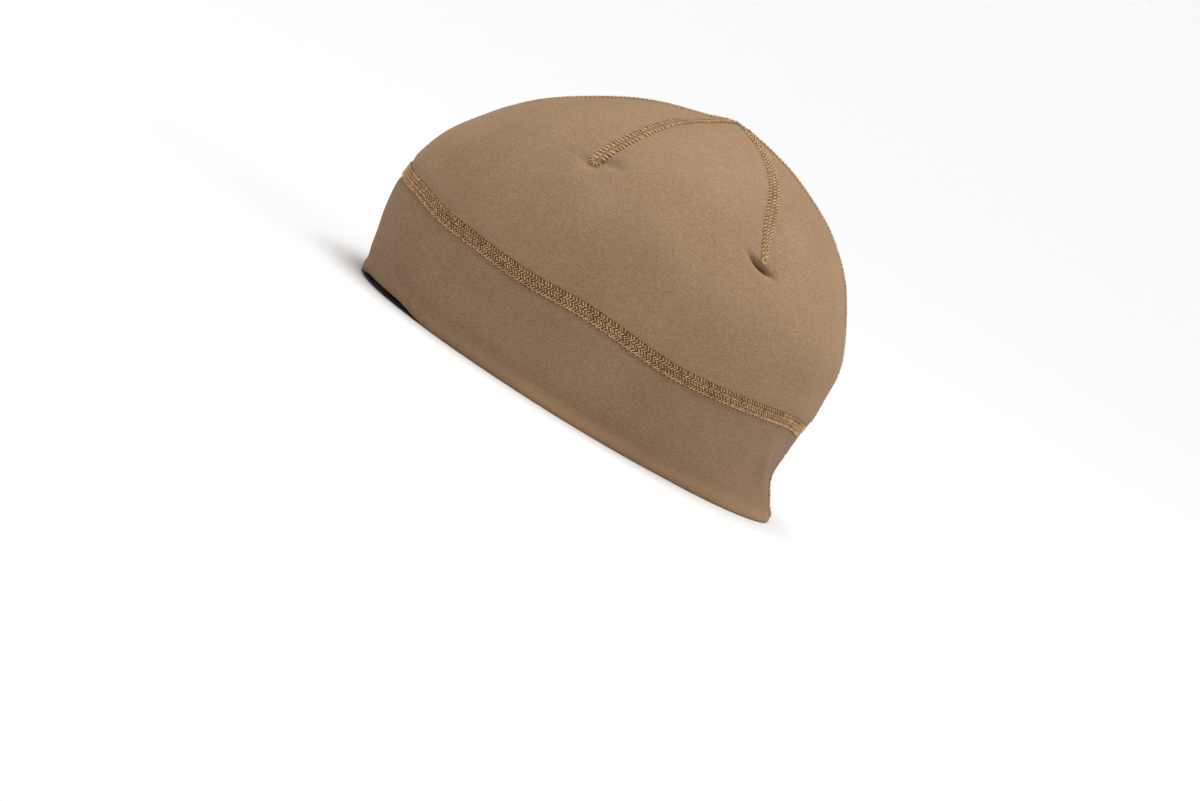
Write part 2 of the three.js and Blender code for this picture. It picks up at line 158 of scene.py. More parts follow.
# Hem, in mm: its rolled edge, the groove above it, the reach of both, and the height over which the
# cloth's unevenness fades towards the floor
HEM_ROLL = 0.55
HEM_ROLL_HEIGHT = 1.6
HEM_GROOVE = 0.45
HEM_GROOVE_HEIGHT = 6.6
HEM_ROLL_REACH = 2.8
HEM_CALM = 4

# Gathers beside the band seam, in mm, and a slower ripple in them, as shares of the first
PUCKER_LIFT = 0.07
PUCKER_REACH = 3
SLOW_PUCKER_LIFT = 0.6
SLOW_PUCKER_COUNT = 0.37

# Stitches, in mm: pitches, radii of the threads, and the gap between the middles of twin threads
BAND_STITCH = 2.15
BRAID_STITCH = BAND_STITCH / 1.5
CROWN_STITCH = 1.8
BAND_THREAD = 0.24
CROWN_THREAD = 0.22
WIDE_DART_THREAD = 0.264
TWIN_GAP = 0.34

# Rows of stitches: both edges as shares of the seam's width, slant and phase as shares of the pitch, and
# rise in mm
TWO_COLUMNS = [(0.5, 0.07, 0.3, 0, 0.38), (-0.09, -0.5, 0.3, 0.5, 0.38)]
THREE_COLUMNS = [(0.5, 0.21, 0.9, 0, 0.38), (0.14, -0.14, 1, 0.35, 0.38), (-0.18, -0.5, 1, 0.7, 0.28)]
BRAID_ROWS = [
    (0.45, 0.23, 0.6, 0.1, 0.28),
    (0.2, 0.01, -0.8, 0.7, 0.34),
    (-0.02, -0.21, 0.8, 0.2, 0.34),
    (-0.24, -0.43, -0.7, 0.8, 0.28),
]

# How far stitches stray: along as a share of the pitch, in rise, and in reach across their row
PLACE_STRAY = 0.09
RISE_STRAY = 0.06
REACH_STRAY = 0.02

# Height of a stitch: how far it sinks in the pressed cloth in mm, the share cut off each end of its half
# wave, the power that fills the wave out, and the share lost at the seam's edges, between two shares of
# the seam's width from its middle
STITCH_SINK = 0.2
ARCH_CUT = 0.04
ARCH_POWER = 0.55
EDGE_DIVE = 0.9
EDGE_FROM = 0.4
EDGE_TO = 0.5

# Mesh of a thread: steps along a stitch, sides, and the radius and tip of its ends as shares of its radius
THREAD_STEPS = 6
THREAD_SIDES = 5
THREAD_END = 0.6
THREAD_TIP = 0.5

# Share of its rise by which a long edge thread goes down and up at each stitch
EDGE_DIP = 0.4

# Needle holes, dark lenses of painted shade for their hollows: radii in mm, the length, breadth and height as
# shares of the radius, depth in mm, sides
HOLE_RADIUS = 0.36
SMALL_HOLE_RADIUS = 0.252
HOLE_LENGTH = 0.8
HOLE_BREADTH = 1.2
HOLE_HEIGHT = 0.35
HOLE_DEPTH = 0.2
HOLE_SIDES = 6

# Fan of stitches round a dart's tip: count, half its angle in degrees, both ends as shares of the seam's
# width, radius of the thread and rise in mm, sides
FAN_COUNT = 6
FAN_ANGLE = 80
FAN_FROM = 0.17
FAN_TO = 0.52
FAN_THREAD = 0.242
FAN_RISE = 0.42
FAN_SIDES = 6

# Pressed cloth under the stitches: lift in mm, share of the seam's width, and step in mm
BAND_RIBBON_LIFT = 0.35
BAND_RIBBON_SHARE = 0.98
BAND_RIBBON_STEP = 1.6
CROWN_RIBBON_LIFT = 0.35
CROWN_RIBBON_SHARE = 0.8
CROWN_RIBBON_STEP = 1.4

# Its section: across as a share of its half width, out as a share of its lift
RIBBON_SECTION = [
    (-1, -0.3),
    (-0.94, 0.25),
    (-0.75, 1),
    (-0.08, 1),
    (0, 0.9),
    (0.08, 1),
    (0.36, 1),
    (0.75, 1),
    (0.94, 0.25),
    (1, -0.3),
]

# The faces of that section that show bare cloth beside the band seam's needle holes
BARE_FACES = range(6, 9)

# Angles of the rings that round the pressed cloth off at a dart's tip, in degrees
ROUND_ANGLES = (70, 45, 20)

# Knit, in mm: pitches of its wales, courses and slanted lines, the mean radius of the band, and the
# degrees of turn after which places round the crown start afresh
WALE_PITCH = 0.8
COURSE_PITCH = 0.62
TWILL_PITCH = 1.3
GIRTH_RADIUS = 88
PANEL_TURN = 60

# Looks of the knit: how far a course bows at each wale and a slanted line drifts, in radians, the weight
# of the slanted lines, and the sums of the weighted noises that show as all dark and as all light
COURSE_BOW = 2.2
TWILL_DRIFT = 9.0
TWILL_WEIGHT = 0.018
TONE_DARK = 0.537
TONE_LIGHT = 0.747

# Short streaks of the knit: how many in each mm across the wales and along them, and how far apart in the
# noise two leans lie
STREAK_ACROSS = 0.5
STREAK_ALONG = 2.1
STREAK_APART = 7.0

# Painted light on the hem's edge, for light reflected onto it, in mm: full and none by height, and by
# distance round the rim from its back
HEM_LIGHT_FULL_HEIGHT = 3.0
HEM_LIGHT_NO_HEIGHT = 7.0
HEM_LIGHT_FULL_REACH = 150.0
HEM_LIGHT_NO_REACH = 210.0

# Mesh steps
PANEL_COLUMNS = 57
BAND_COLUMNS = 480
CROWN_LEVELS = 120
BAND_LEVELS = 30
FOLD_STEPS = 8
BAND_LINE_POINTS = 2881
CROWN_LINE_POINTS = 400

# Share by which a panel's columns crowd together beside the seams
CROWDING = 0.5

# Extra levels of the crown: rise of the darts' tips, how many times more there and their reach as a share
# of the cap's height, then how many times more above the band seam and their reach up the crown
TIP_RISE = 0.7
TIP_EXTRA = 2.4
TIP_REACH = 0.045
START_EXTRA = 1.2
START_REACH = 0.06

# Small steps that the surface's slope is measured over, in stations and in degrees, the least reach of
# an oval in mm, and how finely stations and levels are sampled
STATION_STEP = 0.002
TURN_STEP = 0.5
LEAST_REACH = 1e-6
STATION_SAMPLES = 4001
LEVEL_SAMPLES = 2001

# Camera, as the photograph sees the cap: angles in degrees, the rest in mm, and the nearest and farthest
# things in view in metres
PHOTO_ELEVATION = 7
PHOTO_ROLL = 32.23
PHOTO_DISTANCE = 2200
PHOTO_TARGET = (0, 17.1, 5.6)
PHOTO_LENS = 160
PHOTO_SENSOR = 36
NEAREST = 0.1
FARTHEST = 200

# Floor and room: reach in metres, share of light given back, light near the horizon and above it, and the
# sines of the elevations between which that light fades
FLOOR_REACH = 60.0
FLOOR_TONE = 0.82
HORIZON_LIGHT = 0.94
ROOM_LIGHT = 0.09
FADE_FROM = 0.07
FADE_TO = 0.16

# The point that the lights look at, in metres
LIGHT_TARGET = (0, 0, 0.06)


def column(name):
    return np.array([row[OUTLINE_COLUMNS.index(name)] for row in OUTLINE_ROWS], float)


def spline(places, values):
    """A natural cubic curve through the values, as a function of arrays."""
    steps = np.diff(places)
    slopes = np.diff(values) / steps
    count = len(places)
    matrix = np.eye(count)
    wanted = np.zeros(count)
    for i in range(1, count - 1):
        matrix[i, i - 1:i + 2] = steps[i - 1], 2 * (steps[i - 1] + steps[i]), steps[i]
        wanted[i] = 6 * (slopes[i] - slopes[i - 1])
    bends = np.linalg.solve(matrix, wanted)

    def curve(place):
        right = np.clip(np.searchsorted(places, place), 1, count - 1)
        width = steps[right - 1]
        a = (places[right] - place) / width
        b = 1 - a
        sag = (a**3 - a) * bends[right - 1] + (b**3 - b) * bends[right]
        return a * values[right - 1] + b * values[right] + sag * width**2 / 6

    return curve


def smoothstep(value, low, high):
    share = np.clip((value - low) / (high - low), 0, 1)
    return share * share * (3 - 2 * share)


def lerp(low, high, share):
    return low + (high - low) * share


def unit(vectors):
    return vectors / np.linalg.norm(vectors, axis=-1, keepdims=True)


def folded_turn(turn):
    wrapped = np.mod(turn, 360)
    return np.minimum(wrapped, 360 - wrapped)


def eased(rows, turn):
    """The lift of a table of turns and lifts, eased from row to row."""
    turns, lifts = np.array(rows, float).T
    folded = folded_turn(turn)
    right = np.clip(np.searchsorted(turns, folded), 1, len(turns) - 1)
    share = smoothstep(folded, turns[right - 1], turns[right])
    return lerp(lifts[right - 1], lifts[right], share)


# Sizes of the whole cap, from the frame
def box_mm(node):
    return [np.array(corner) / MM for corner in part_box(node)]


SEAM_STAND = SEAM_CLEARANCE + BAND_SEAM_THICKNESS - BAND_SEAM_BED
part_low = np.array(cad_box[0]) / MM
seam_low, seam_high = box_mm("band_seam")
wave_lifts = [lift for _, lift in BAND_SEAM_WAVES]
band_seam_width = (seam_high[2] - seam_low[2]) / (1 + max(wave_lifts) - min(wave_lifts))
band_seam_height = seam_low[2] + band_seam_width * (0.5 - min(wave_lifts))
crown_low, crown_high = box_mm("crown")
cap_height = crown_high[2] + CROWN_SEAM_BED
cap_width = (crown_high[0] - crown_low[0] - 2 * PANEL_SWELL) / max(column("side"))

runs = np.diff(column("side")) * cap_width / 2
climbs = np.diff(column("rise")) * cap_height
outline_places = np.concatenate([[0], np.cumsum(np.hypot(runs, climbs))])
outline_span = outline_places[-1]


def outline(name, size):
    """One column of the outline, times a size, as a smooth function of the station."""
    curve = spline(outline_places, column(name) * size)
    return lambda station: curve(np.clip(station, 0, 1) * outline_span)


fine_stations = np.linspace(0, 1, STATION_SAMPLES)
front_reach = outline("front", 1)(fine_stations).max()
back_reach = outline("back", 1)(fine_stations).max()
cap_length = (-2 * part_low[1] - SEAM_STAND) / (front_reach + back_reach)
peak_setback = ((front_reach - back_reach) * cap_length + SEAM_STAND) / 2
height_at = outline("rise", cap_height)
front_at = outline("front", cap_length)
back_at = outline("back", cap_length)
side_at = outline("side", cap_width / 2)
nose_at = outline("nose", 1)
nape_at = outline("nape", 1)
fine_heights = height_at(fine_stations)


def station_at(height):
    return np.interp(height, fine_heights, fine_stations)


# The cloth's surface
def plan_radius(turn, station):
    """Distance from the axis through the peak to the oval of a level."""
    angle = np.radians(turn)
    ahead, aside = np.cos(angle), np.abs(np.sin(angle))
    reach = np.maximum(np.where(ahead > 0, front_at(station), back_at(station)), LEAST_REACH)
    power = np.where(ahead > 0, nose_at(station), nape_at(station))
    width = np.maximum(side_at(station), LEAST_REACH)
    return ((np.abs(ahead) / reach) ** power + (aside / width) ** power) ** (-1 / power)


def base_point(turn, station):
    radius = np.where(station >= 1, 0, plan_radius(turn, station))
    angle = np.radians(turn)
    x, y = radius * np.sin(angle), peak_setback - radius * np.cos(angle)
    return np.stack(np.broadcast_arrays(x, y, height_at(station)), -1)


def outward(turn, station):
    """Directions straight out of the smooth surface, before the relief."""
    below = base_point(turn, station - STATION_STEP)
    above = base_point(turn, np.minimum(station + STATION_STEP, 1))
    before = base_point(turn - TURN_STEP, station)
    after = base_point(turn + TURN_STEP, station)
    normal = np.cross(after - before, above - below)
    normal[np.broadcast_to(station >= 1, normal.shape[:-1])] = (0, 0, 1)
    return unit(normal)


def band_seam_level(turn):
    return band_seam_height + eased(BAND_SEAM_WAVES, turn) * band_seam_width


def hem_level(turn):
    return eased(HEM_WAVES, turn) * band_seam_height


def seam_share(seam, height):
    return np.clip((height / cap_height - seam["tip"]) / (1 - seam["tip"]), 0, 1)


def seam_width(seam, height):
    share = np.minimum(seam_share(seam, height) / WIDTH_EASE, 1)
    return CROWN_SEAM_WIDTH * lerp(seam["tip_width"], seam["top_width"], share)


def seam_turn(seam, height):
    """The seam's turn at a height: a parabola through its lower end, its middle and the peak."""
    share = seam_share(seam, height)
    bow = seam["mid_turn"] - (seam["tip_turn"] + seam["top_turn"]) / 2
    return lerp(seam["tip_turn"], seam["top_turn"], share) + 4 * bow * share * (1 - share)


def crown_bed(turn, radius, height):
    """How deep a place lies in the crown seams' beds, from 0 to 1."""
    bed = np.zeros(np.broadcast(turn, height).shape)
    for seam in CROWN_SEAMS:
        away = np.mod(turn - seam_turn(seam, height) + 180, 360) - 180
        aside = np.abs(radius * np.sin(np.radians(away)))
        distance = np.where(np.abs(away) < 90, aside, radius)
        across = 1 - smoothstep(distance, seam_width(seam, height) / 2 + BED_MARGIN, CROWN_BED_REACH)
        tip_height = seam["tip"] * cap_height
        along = smoothstep(height, tip_height - TIP_FADE, tip_height) if seam["tip"] > 0 else 1
        bed = np.maximum(bed, across * along)
    return bed


def dimples(turn, radius, height):
    depth = 0
    for middle, rise, half_length, half_height, deep, tilt in DIMPLES:
        sideways = radius * np.sin(np.radians(folded_turn(turn) - middle))
        upward = height - rise * cap_height
        lean = math.radians(tilt)
        along = sideways * math.cos(lean) + upward * math.sin(lean)
        across = upward * math.cos(lean) - sideways * math.sin(lean)
        spread = (along / half_length) ** 2 + (across / half_height) ** 2
        depth = depth + deep * CROWN_SEAM_WIDTH * np.exp(-spread / CROWN_SEAM_WIDTH**2)
    return depth


def folds(turn, radius, height):
    lift = 0
    for start, rise, end, end_rise, reach, high in FOLDS:
        run_along = radius * math.radians(end - start)
        run_up = (end_rise - rise) * band_seam_height
        along = radius * np.radians(folded_turn(turn) - start)
        up = height - rise * band_seam_height
        share = np.clip((along * run_along + up * run_up) / (run_along**2 + run_up**2), 0, 1)
        distance = np.hypot(along - share * run_along, up - share * run_up)
        lift = lift + high * band_seam_width * np.exp(-((distance / (reach * band_seam_width)) ** 2))
    return lift


def softness(turn, station, calm):
    """Slight unevenness of real cloth, none where calm is 1."""
    lift = 0
    for around, upward, phase, high in SOFT_WAVES:
        climb = 360 * upward * station
        beat = np.cos(np.radians(climb * SOFT_BEAT))
        lift = lift + high * np.sin(np.radians(around * turn + climb + phase)) * beat
    return lift * (1 - calm)


def relief(turn, station):
    """How far the cloth stands out from the smooth surface, in mm."""
    station = np.minimum(station, 1)
    radius = plan_radius(turn, station)
    height = height_at(station)
    level = band_seam_level(turn)
    seam_distance = np.abs(height - level)
    band_bed = 1 - smoothstep(seam_distance, band_seam_width / 2 + BED_MARGIN, BAND_BED_REACH)
    in_crown = smoothstep(height, level, level + BAND_BED_REACH)
    bed = crown_bed(turn, radius, height)
    swell = PANEL_SWELL * (1 - bed) * in_crown
    pinch = np.maximum(BAND_SEAM_BED * band_bed, CROWN_SEAM_BED * bed)
    soft = softness(turn, station, np.maximum(bed, band_bed) + smoothstep(HEM_CALM - height, 0, HEM_CALM))
    lift = swell + folds(turn, radius, height) * (1 - in_crown) - pinch + soft
    above_hem = height - hem_level(turn)
    roll = HEM_ROLL * np.exp(-(((above_hem - HEM_ROLL_HEIGHT) / HEM_ROLL_REACH) ** 2))
    roll = roll - HEM_GROOVE * np.exp(-(((above_hem - HEM_GROOVE_HEIGHT) / HEM_ROLL_REACH) ** 2))
    return lift - dimples(turn, radius, height) + puckers(turn, seam_distance) + roll


def puckers(turn, seam_distance):
    """Small gathers beside the band seam, each two stitches long."""
    edge = band_seam_width / 2
    near = np.exp(-(((seam_distance - edge) / PUCKER_REACH) ** 2)) * (seam_distance > edge)
    phase = math.pi * np.radians(turn) * GIRTH_RADIUS / BAND_STITCH
    ripple = np.cos(phase) + SLOW_PUCKER_LIFT * np.cos(phase * SLOW_PUCKER_COUNT)
    return PUCKER_LIFT * ripple * near


def cloth_point(turn, station, depth):
    lift = relief(turn, station) - depth
    return base_point(turn, station) + outward(turn, station) * lift[..., None]


def band_point(turn, height, depth):
    """A point of the band, where the depth is level, so that the hem stays on the floor."""
    station = station_at(height)
    level_out = outward(turn, station)
    level_out[..., 2] = 0
    point = base_point(turn, station)
    point[..., 2] = height
    return point + unit(level_out) * (relief(turn, station) - depth)[..., None]


# Meshes
def add_mesh(name, points, faces, materials):
    mesh = bpy.data.meshes.new(name)
    mesh.from_pydata((np.asarray(points) * MM).tolist(), [], faces)
    mesh.update()
    mesh.shade_smooth()
    for material in materials:
        mesh.materials.append(material)
    piece = bpy.data.objects.new(name, mesh)
    bpy.context.scene.collection.objects.link(piece)
    return piece


def grid_faces(rows, columns, closed_rows):
    """Quads between closed rings of points, and from the last ring to the first where the rows close."""
    row = np.arange(rows if closed_rows else rows - 1)[:, None]
    here = row * columns + np.arange(columns)
    ahead = row * columns + np.roll(np.arange(columns), -1)
    step = (row + 1) % rows - row
    faces = np.stack([here, ahead, ahead + step * columns, here + step * columns], -1)
    return faces.reshape(-1, 4)


def crowded(count, amount):
    """Shares from 0 up to 1, without it, closer together at both ends."""
    even = np.arange(count) / count
    return even - amount * np.sin(2 * math.pi * even) / (2 * math.pi)


def crown_turns(heights):
    """Turns of the crown's columns at each height, as many between two seams as between any others."""
    starts = np.stack([seam_turn(seam, heights) for seam in CROWN_SEAMS], -1)
    ends = np.concatenate([starts[:, 1:], starts[:, :1] + 360], 1)
    shares = crowded(PANEL_COLUMNS, CROWDING)
    turns = starts[:, :, None] + (ends - starts)[:, :, None] * shares
    return turns.reshape(len(heights), -1)


def crown_levels():
    """Shares of the way up the crown, closer together at the darts' tips and above the band seam."""
    even = np.linspace(0, 1, LEVEL_SAMPLES)
    height = height_at(lerp(station_at(band_seam_height), 1, even))
    at_tips = TIP_EXTRA * np.exp(-(((height / cap_height - TIP_RISE) / TIP_REACH) ** 2))
    density = 1 + at_tips + START_EXTRA * np.exp(-even / START_REACH)
    walked = np.concatenate([[0], np.cumsum((density[1:] + density[:-1]) / 2)])
    return np.interp(np.linspace(0, walked[-1], CROWN_LEVELS + 1)[:-1], walked, even)


def add_crown(material):
    """The dome: one wall with an outer and an inner face, open below."""
    levels = crown_levels()[:, None]
    nominal = lerp(station_at(band_seam_height), 1, levels)
    turns = crown_turns(height_at(nominal[:, 0]))
    start = station_at(band_seam_level(turns) + SEAM_CLEARANCE / 2)
    stations = lerp(start, 1, levels)
    rows, columns = turns.shape
    outer = cloth_point(turns, stations, 0)
    inner = cloth_point(turns, stations, CROWN_WALL)
    peaks = cloth_point(np.zeros(2), np.ones(2), np.array([0, CROWN_WALL]))
    points = np.concatenate([outer[::-1].reshape(-1, 3), inner.reshape(-1, 3), peaks])
    faces = grid_faces(2 * rows, columns, False)
    here = np.arange(columns)
    ahead = np.roll(here, -1)
    last = (2 * rows - 1) * columns
    outer_peak = np.full(columns, 2 * rows * columns)
    tops = np.stack([ahead, here, outer_peak], -1)
    undersides = np.stack([last + here, last + ahead, outer_peak + 1], -1)
    piece = add_mesh("crown_cloth", points, faces.tolist() + tops.tolist() + undersides.tolist(), [material])
    panel_start = np.floor(turns / PANEL_TURN) * PANEL_TURN
    across = (np.radians(turns) - np.radians(panel_start)) * plan_radius(turns, stations)
    along = stations * outline_span
    both_across = np.concatenate([across[::-1].ravel(), across.ravel(), [0, 0]])
    both_along = np.concatenate([along[::-1].ravel(), along.ravel(), [outline_span, outline_span]])
    set_knit(piece, both_across, both_along)
    return piece


def set_knit(piece, across, along):
    """Keeps each point's place on the knit, in mm across the wales and along them."""
    for name, values in (("wale", across), ("course", along)):
        attribute = piece.data.attributes.new(name, "FLOAT", "POINT")
        attribute.data.foreach_set("value", np.asarray(values, np.float32))


def band_profile():
    """Share of the way up, rise above the hem and depth, round the section of the folded band."""
    fold = BAND_WALL / 2
    inner_fold = fold - BAND_LAYER
    up = np.arange(BAND_LEVELS) / BAND_LEVELS
    down = 1 - up
    rows = [(share, fold * (1 - share), 0) for share in down]
    angles = np.linspace(0, math.pi, FOLD_STEPS + 1)
    rows += [(0, fold * (1 - math.sin(a)), fold * (1 - math.cos(a))) for a in angles[:-1]]
    rows += [(share, fold * (1 - share), BAND_WALL) for share in up]
    rows += [(1, 0, BAND_WALL)]
    rows += [(share, fold * (1 - share), BAND_WALL - BAND_LAYER) for share in down]
    rows += [(0, fold - inner_fold * math.sin(a), fold + inner_fold * math.cos(a)) for a in angles[:-1]]
    rows += [(share, fold * (1 - share), BAND_LAYER) for share in up]
    rows += [(1, 0, BAND_LAYER)]
    return np.array(rows)


def add_band(material):
    """Two layers of jersey, folded at the hem."""
    turns = np.arange(BAND_COLUMNS) * 360 / BAND_COLUMNS
    share, rise, depth = band_profile().T[:, :, None]
    top = band_seam_level(turns) - SEAM_CLEARANCE / 2
    height = lerp(hem_level(turns), top, share) + rise
    turn_grid = np.broadcast_to(turns, height.shape)
    points = band_point(turn_grid, height, depth)
    faces = grid_faces(len(height), BAND_COLUMNS, True)
    piece = add_mesh("band_cloth", points.reshape(-1, 3), faces.tolist(), [material])
    set_knit(piece, (np.radians(turn_grid) * GIRTH_RADIUS).ravel(), height.ravel())
    return piece


def add_tubes(paths, ups, radius, sides):
    """Points and faces of many round threads with the same count of points, as one mesh."""
    threads, count, _ = paths.shape
    tangent = unit(np.gradient(paths, axis=1))
    side = unit(np.cross(tangent, ups))
    top = np.cross(side, tangent)
    angles = 2 * math.pi * np.arange(sides) / sides
    ring = np.cos(angles)[:, None] * side[:, :, None] + np.sin(angles)[:, None] * top[:, :, None]
    taper = np.ones(count)
    taper[[0, -1]] = THREAD_END
    points = paths[:, :, None] + ring * (radius * taper)[:, None, None]
    body = points.reshape(threads, -1, 3)
    ends = paths[:, [0, -1]] + tangent[:, [0, -1]] * (np.array([-1, 1]) * radius * THREAD_TIP)[:, None]
    points = np.concatenate([body, ends], 1)
    size = count * sides + 2
    faces = grid_faces(count, sides, False)
    around = np.arange(sides)
    ahead = np.roll(around, -1)
    first = np.stack([ahead, around, np.full(sides, size - 2)], -1)
    start = (count - 1) * sides
    last = np.stack([start + around, start + ahead, np.full(sides, size - 1)], -1)
    offsets = (np.arange(threads) * size)[:, None, None]
    quads = (faces + offsets).reshape(-1, 4)
    triangles = (np.concatenate([first, last]) + offsets).reshape(-1, 3)
    return points.reshape(-1, 3), quads, triangles


class SeamLine:
    """The middle line of a seam, with its directions, by the distance along it."""

    def __init__(self, points, outs, widths, lift, closed=False):
        steps = np.linalg.norm(np.diff(points, axis=0), axis=1)
        self.places = np.concatenate([[0], np.cumsum(steps)])
        self.length = self.places[-1]
        self.lift = lift
        self.closed = closed
        along = unit(np.gradient(points, axis=0))
        outs = unit(outs - along * np.sum(outs * along, axis=1, keepdims=True))
        across = np.cross(outs, along)
        self.table = np.concatenate([points, along, across, outs, np.asarray(widths)[:, None]], 1)

    def at(self, distance):
        """Point, directions along, across and out, and the seam's width."""
        if self.closed:
            distance = np.mod(distance, self.length)
        values = np.stack([np.interp(distance, self.places, column) for column in self.table.T], -1)
        return values[..., :3], values[..., 3:6], values[..., 6:9], values[..., 9:12], values[..., 12]

    def place(self, distance, aside, high):
        """World points of places given as mm along, mm across and mm out."""
        point, _, across, out, _ = self.at(distance)
        return point + across * aside[..., None] + out * high[..., None]


def band_seam_line():
    turns = np.linspace(0, 360, BAND_LINE_POINTS)
    points = band_point(turns, band_seam_level(turns), np.zeros_like(turns))
    outs = outward(turns, station_at(band_seam_level(turns)))
    return SeamLine(points, outs, np.full(len(turns), band_seam_width), BAND_RIBBON_LIFT, True)


def crown_seam_line(seam, low_station, high_station):
    """Points, outward directions and widths of a crown seam, on the cloth between two stations."""
    stations = np.linspace(low_station, high_station, CROWN_LINE_POINTS)
    height = height_at(stations)
    turns = seam_turn(seam, height)
    points = cloth_point(turns, stations, np.zeros_like(stations))
    return points, outward(turns, stations), seam_width(seam, height)


def arch(share):
    """Height of a stitch along its length, up to 1, and steep at both ends."""
    return np.sin(math.pi * np.clip(share, ARCH_CUT, 1 - ARCH_CUT)) ** ARCH_POWER


# The one source of chance, for how far stitches stray
rng = np.random.default_rng(7)


def stitch_rows(line, rows, pitch, radius, twin=0.0):
    """Slanted stitches in rows, each of one thread, or of two threads that lie twin mm apart."""
    meshes = []
    for from_share, to_share, slant, phase, rise in rows:
        count = int(line.length / pitch)
        middle = (np.arange(count) + 0.5 + phase) * line.length / count
        middle = middle + rng.normal(0, PLACE_STRAY * pitch, count)
        share = np.linspace(0, 1, THREAD_STEPS)
        jitter = 1 + rng.normal(0, RISE_STRAY, (count, 1))
        reach = 0.5 + rng.normal(0, REACH_STRAY, (count, 1))
        for beside in (-twin / 2, twin / 2) if twin else (0,):
            distance = middle[:, None] + (share - 0.5) * slant * pitch + beside
            if not line.closed:
                distance = np.clip(distance, 0, line.length)
            width = line.at(distance)[4]
            middle_share = (from_share + to_share) / 2
            aside = (middle_share + (from_share - to_share) * (1 - 2 * share) * reach) * width
            high = line.lift - STITCH_SINK + rise * jitter * arch(share)
            high = high * (1 - smoothstep(np.abs(aside) / width, EDGE_FROM, EDGE_TO) * EDGE_DIVE)
            paths = line.place(distance, aside, high)
            meshes.append(add_tubes(paths, line.at(distance)[3], radius, THREAD_SIDES))
    return meshes


def needle_holes(line, share, pitch, phase, radius):
    """Flat dark lenses where the needle went through the cloth: painted shade for the holes' hollows."""
    count = int(line.length / pitch)
    distance = (np.arange(count) + 0.5 + phase) * line.length / count
    point, along, across, out, width = line.at(distance)
    middle = point + across * (share * width)[:, None] + out * line.lift
    around = np.arange(HOLE_SIDES)
    angles = 2 * math.pi * around / HOLE_SIDES
    lengthwise = np.cos(angles)[:, None] * along[:, None] * HOLE_LENGTH
    crosswise = np.sin(angles)[:, None] * across[:, None] * HOLE_BREADTH
    rim = middle[:, None] + (lengthwise + crosswise) * radius
    top = middle + out * radius * HOLE_HEIGHT
    bottom = middle - out * HOLE_DEPTH
    points = np.concatenate([rim, top[:, None], bottom[:, None]], 1)
    ahead = np.roll(around, -1)
    offsets = (np.arange(count) * (HOLE_SIDES + 2))[:, None, None]
    lids = np.stack([around, ahead, np.full(HOLE_SIDES, HOLE_SIDES)], -1)
    cups = np.stack([ahead, around, np.full(HOLE_SIDES, HOLE_SIDES + 1)], -1)
    triangles = (np.concatenate([lids, cups]) + offsets).reshape(-1, 3)
    return points.reshape(-1, 3), np.zeros((0, 4), int), triangles


def edge_thread(line, pitch, share, swing, rise, radius, sides):
    """One long thread at a share of a seam's width, which swings aside and dips once in each pitch."""
    count = int(line.length / pitch)
    steps = count * THREAD_STEPS
    distance = np.arange(steps + 1) * line.length / steps
    phase = 2 * math.pi * count * distance / line.length
    width = line.at(distance)[4]
    aside = share * width + swing * np.cos(phase)
    high = rise * (1 - EDGE_DIP + EDGE_DIP * np.sin(phase))
    path = line.place(distance, aside, high)[None]
    return add_tubes(path, line.at(distance)[3][None], radius, sides)


def tip_fan(line):
    """Stitches that turn round the start of a dart."""
    point, along, across, out, width = [value[0] for value in line.at(np.zeros(1))]
    share = np.linspace(0, 1, THREAD_STEPS)
    reach = lerp(FAN_FROM, FAN_TO, share) * width
    high = line.lift - STITCH_SINK + FAN_RISE * arch(share)
    paths = []
    for angle in np.radians(np.linspace(-FAN_ANGLE, FAN_ANGLE, FAN_COUNT)):
        direction = math.sin(angle) * across - math.cos(angle) * along
        paths.append(point + direction * reach[:, None] + out * high[:, None])
    paths = np.array(paths)
    return add_tubes(paths, np.broadcast_to(out, paths.shape), FAN_THREAD, FAN_SIDES)


def rounded_end(line, share):
    """Rings of the pressed cloth beyond a seam's start, ever narrower."""
    point, along, across, out, width = [value[0] for value in line.at(np.zeros(1))]
    aside, high = np.array(RIBBON_SECTION).T[:, :, None]
    reach = share * width / 2
    rings = []
    for angle in np.radians(ROUND_ANGLES):
        middle = point - along * reach * math.sin(angle)
        rings.append(middle + across * aside * reach * math.cos(angle) + out * high * line.lift)
    return np.array(rings)


def ribbon(line, share, step, round_start=False):
    """The pressed cloth under a seam's stitches."""
    count = max(int(line.length / step), 3)
    distance = np.linspace(0, line.length, count, endpoint=not line.closed)
    reach = share * line.at(distance)[4] / 2
    lift = np.full(count, line.lift)
    rings = np.stack([line.place(distance, a * reach, h * lift) for a, h in RIBBON_SECTION], 1)
    if round_start:
        rings = np.concatenate([rounded_end(line, share), rings])
        count = len(rings)
    size = len(RIBBON_SECTION)
    ends = []
    if not line.closed:
        ends = [list(range(size))[::-1], [(count - 1) * size + i for i in range(size)]]
    return rings.reshape(-1, 3), grid_faces(count, size, line.closed), ends


# Numbers of a seam's materials
PRESSED_CLOTH, THREAD, SHADE_MARK, BARE_CLOTH = range(4)


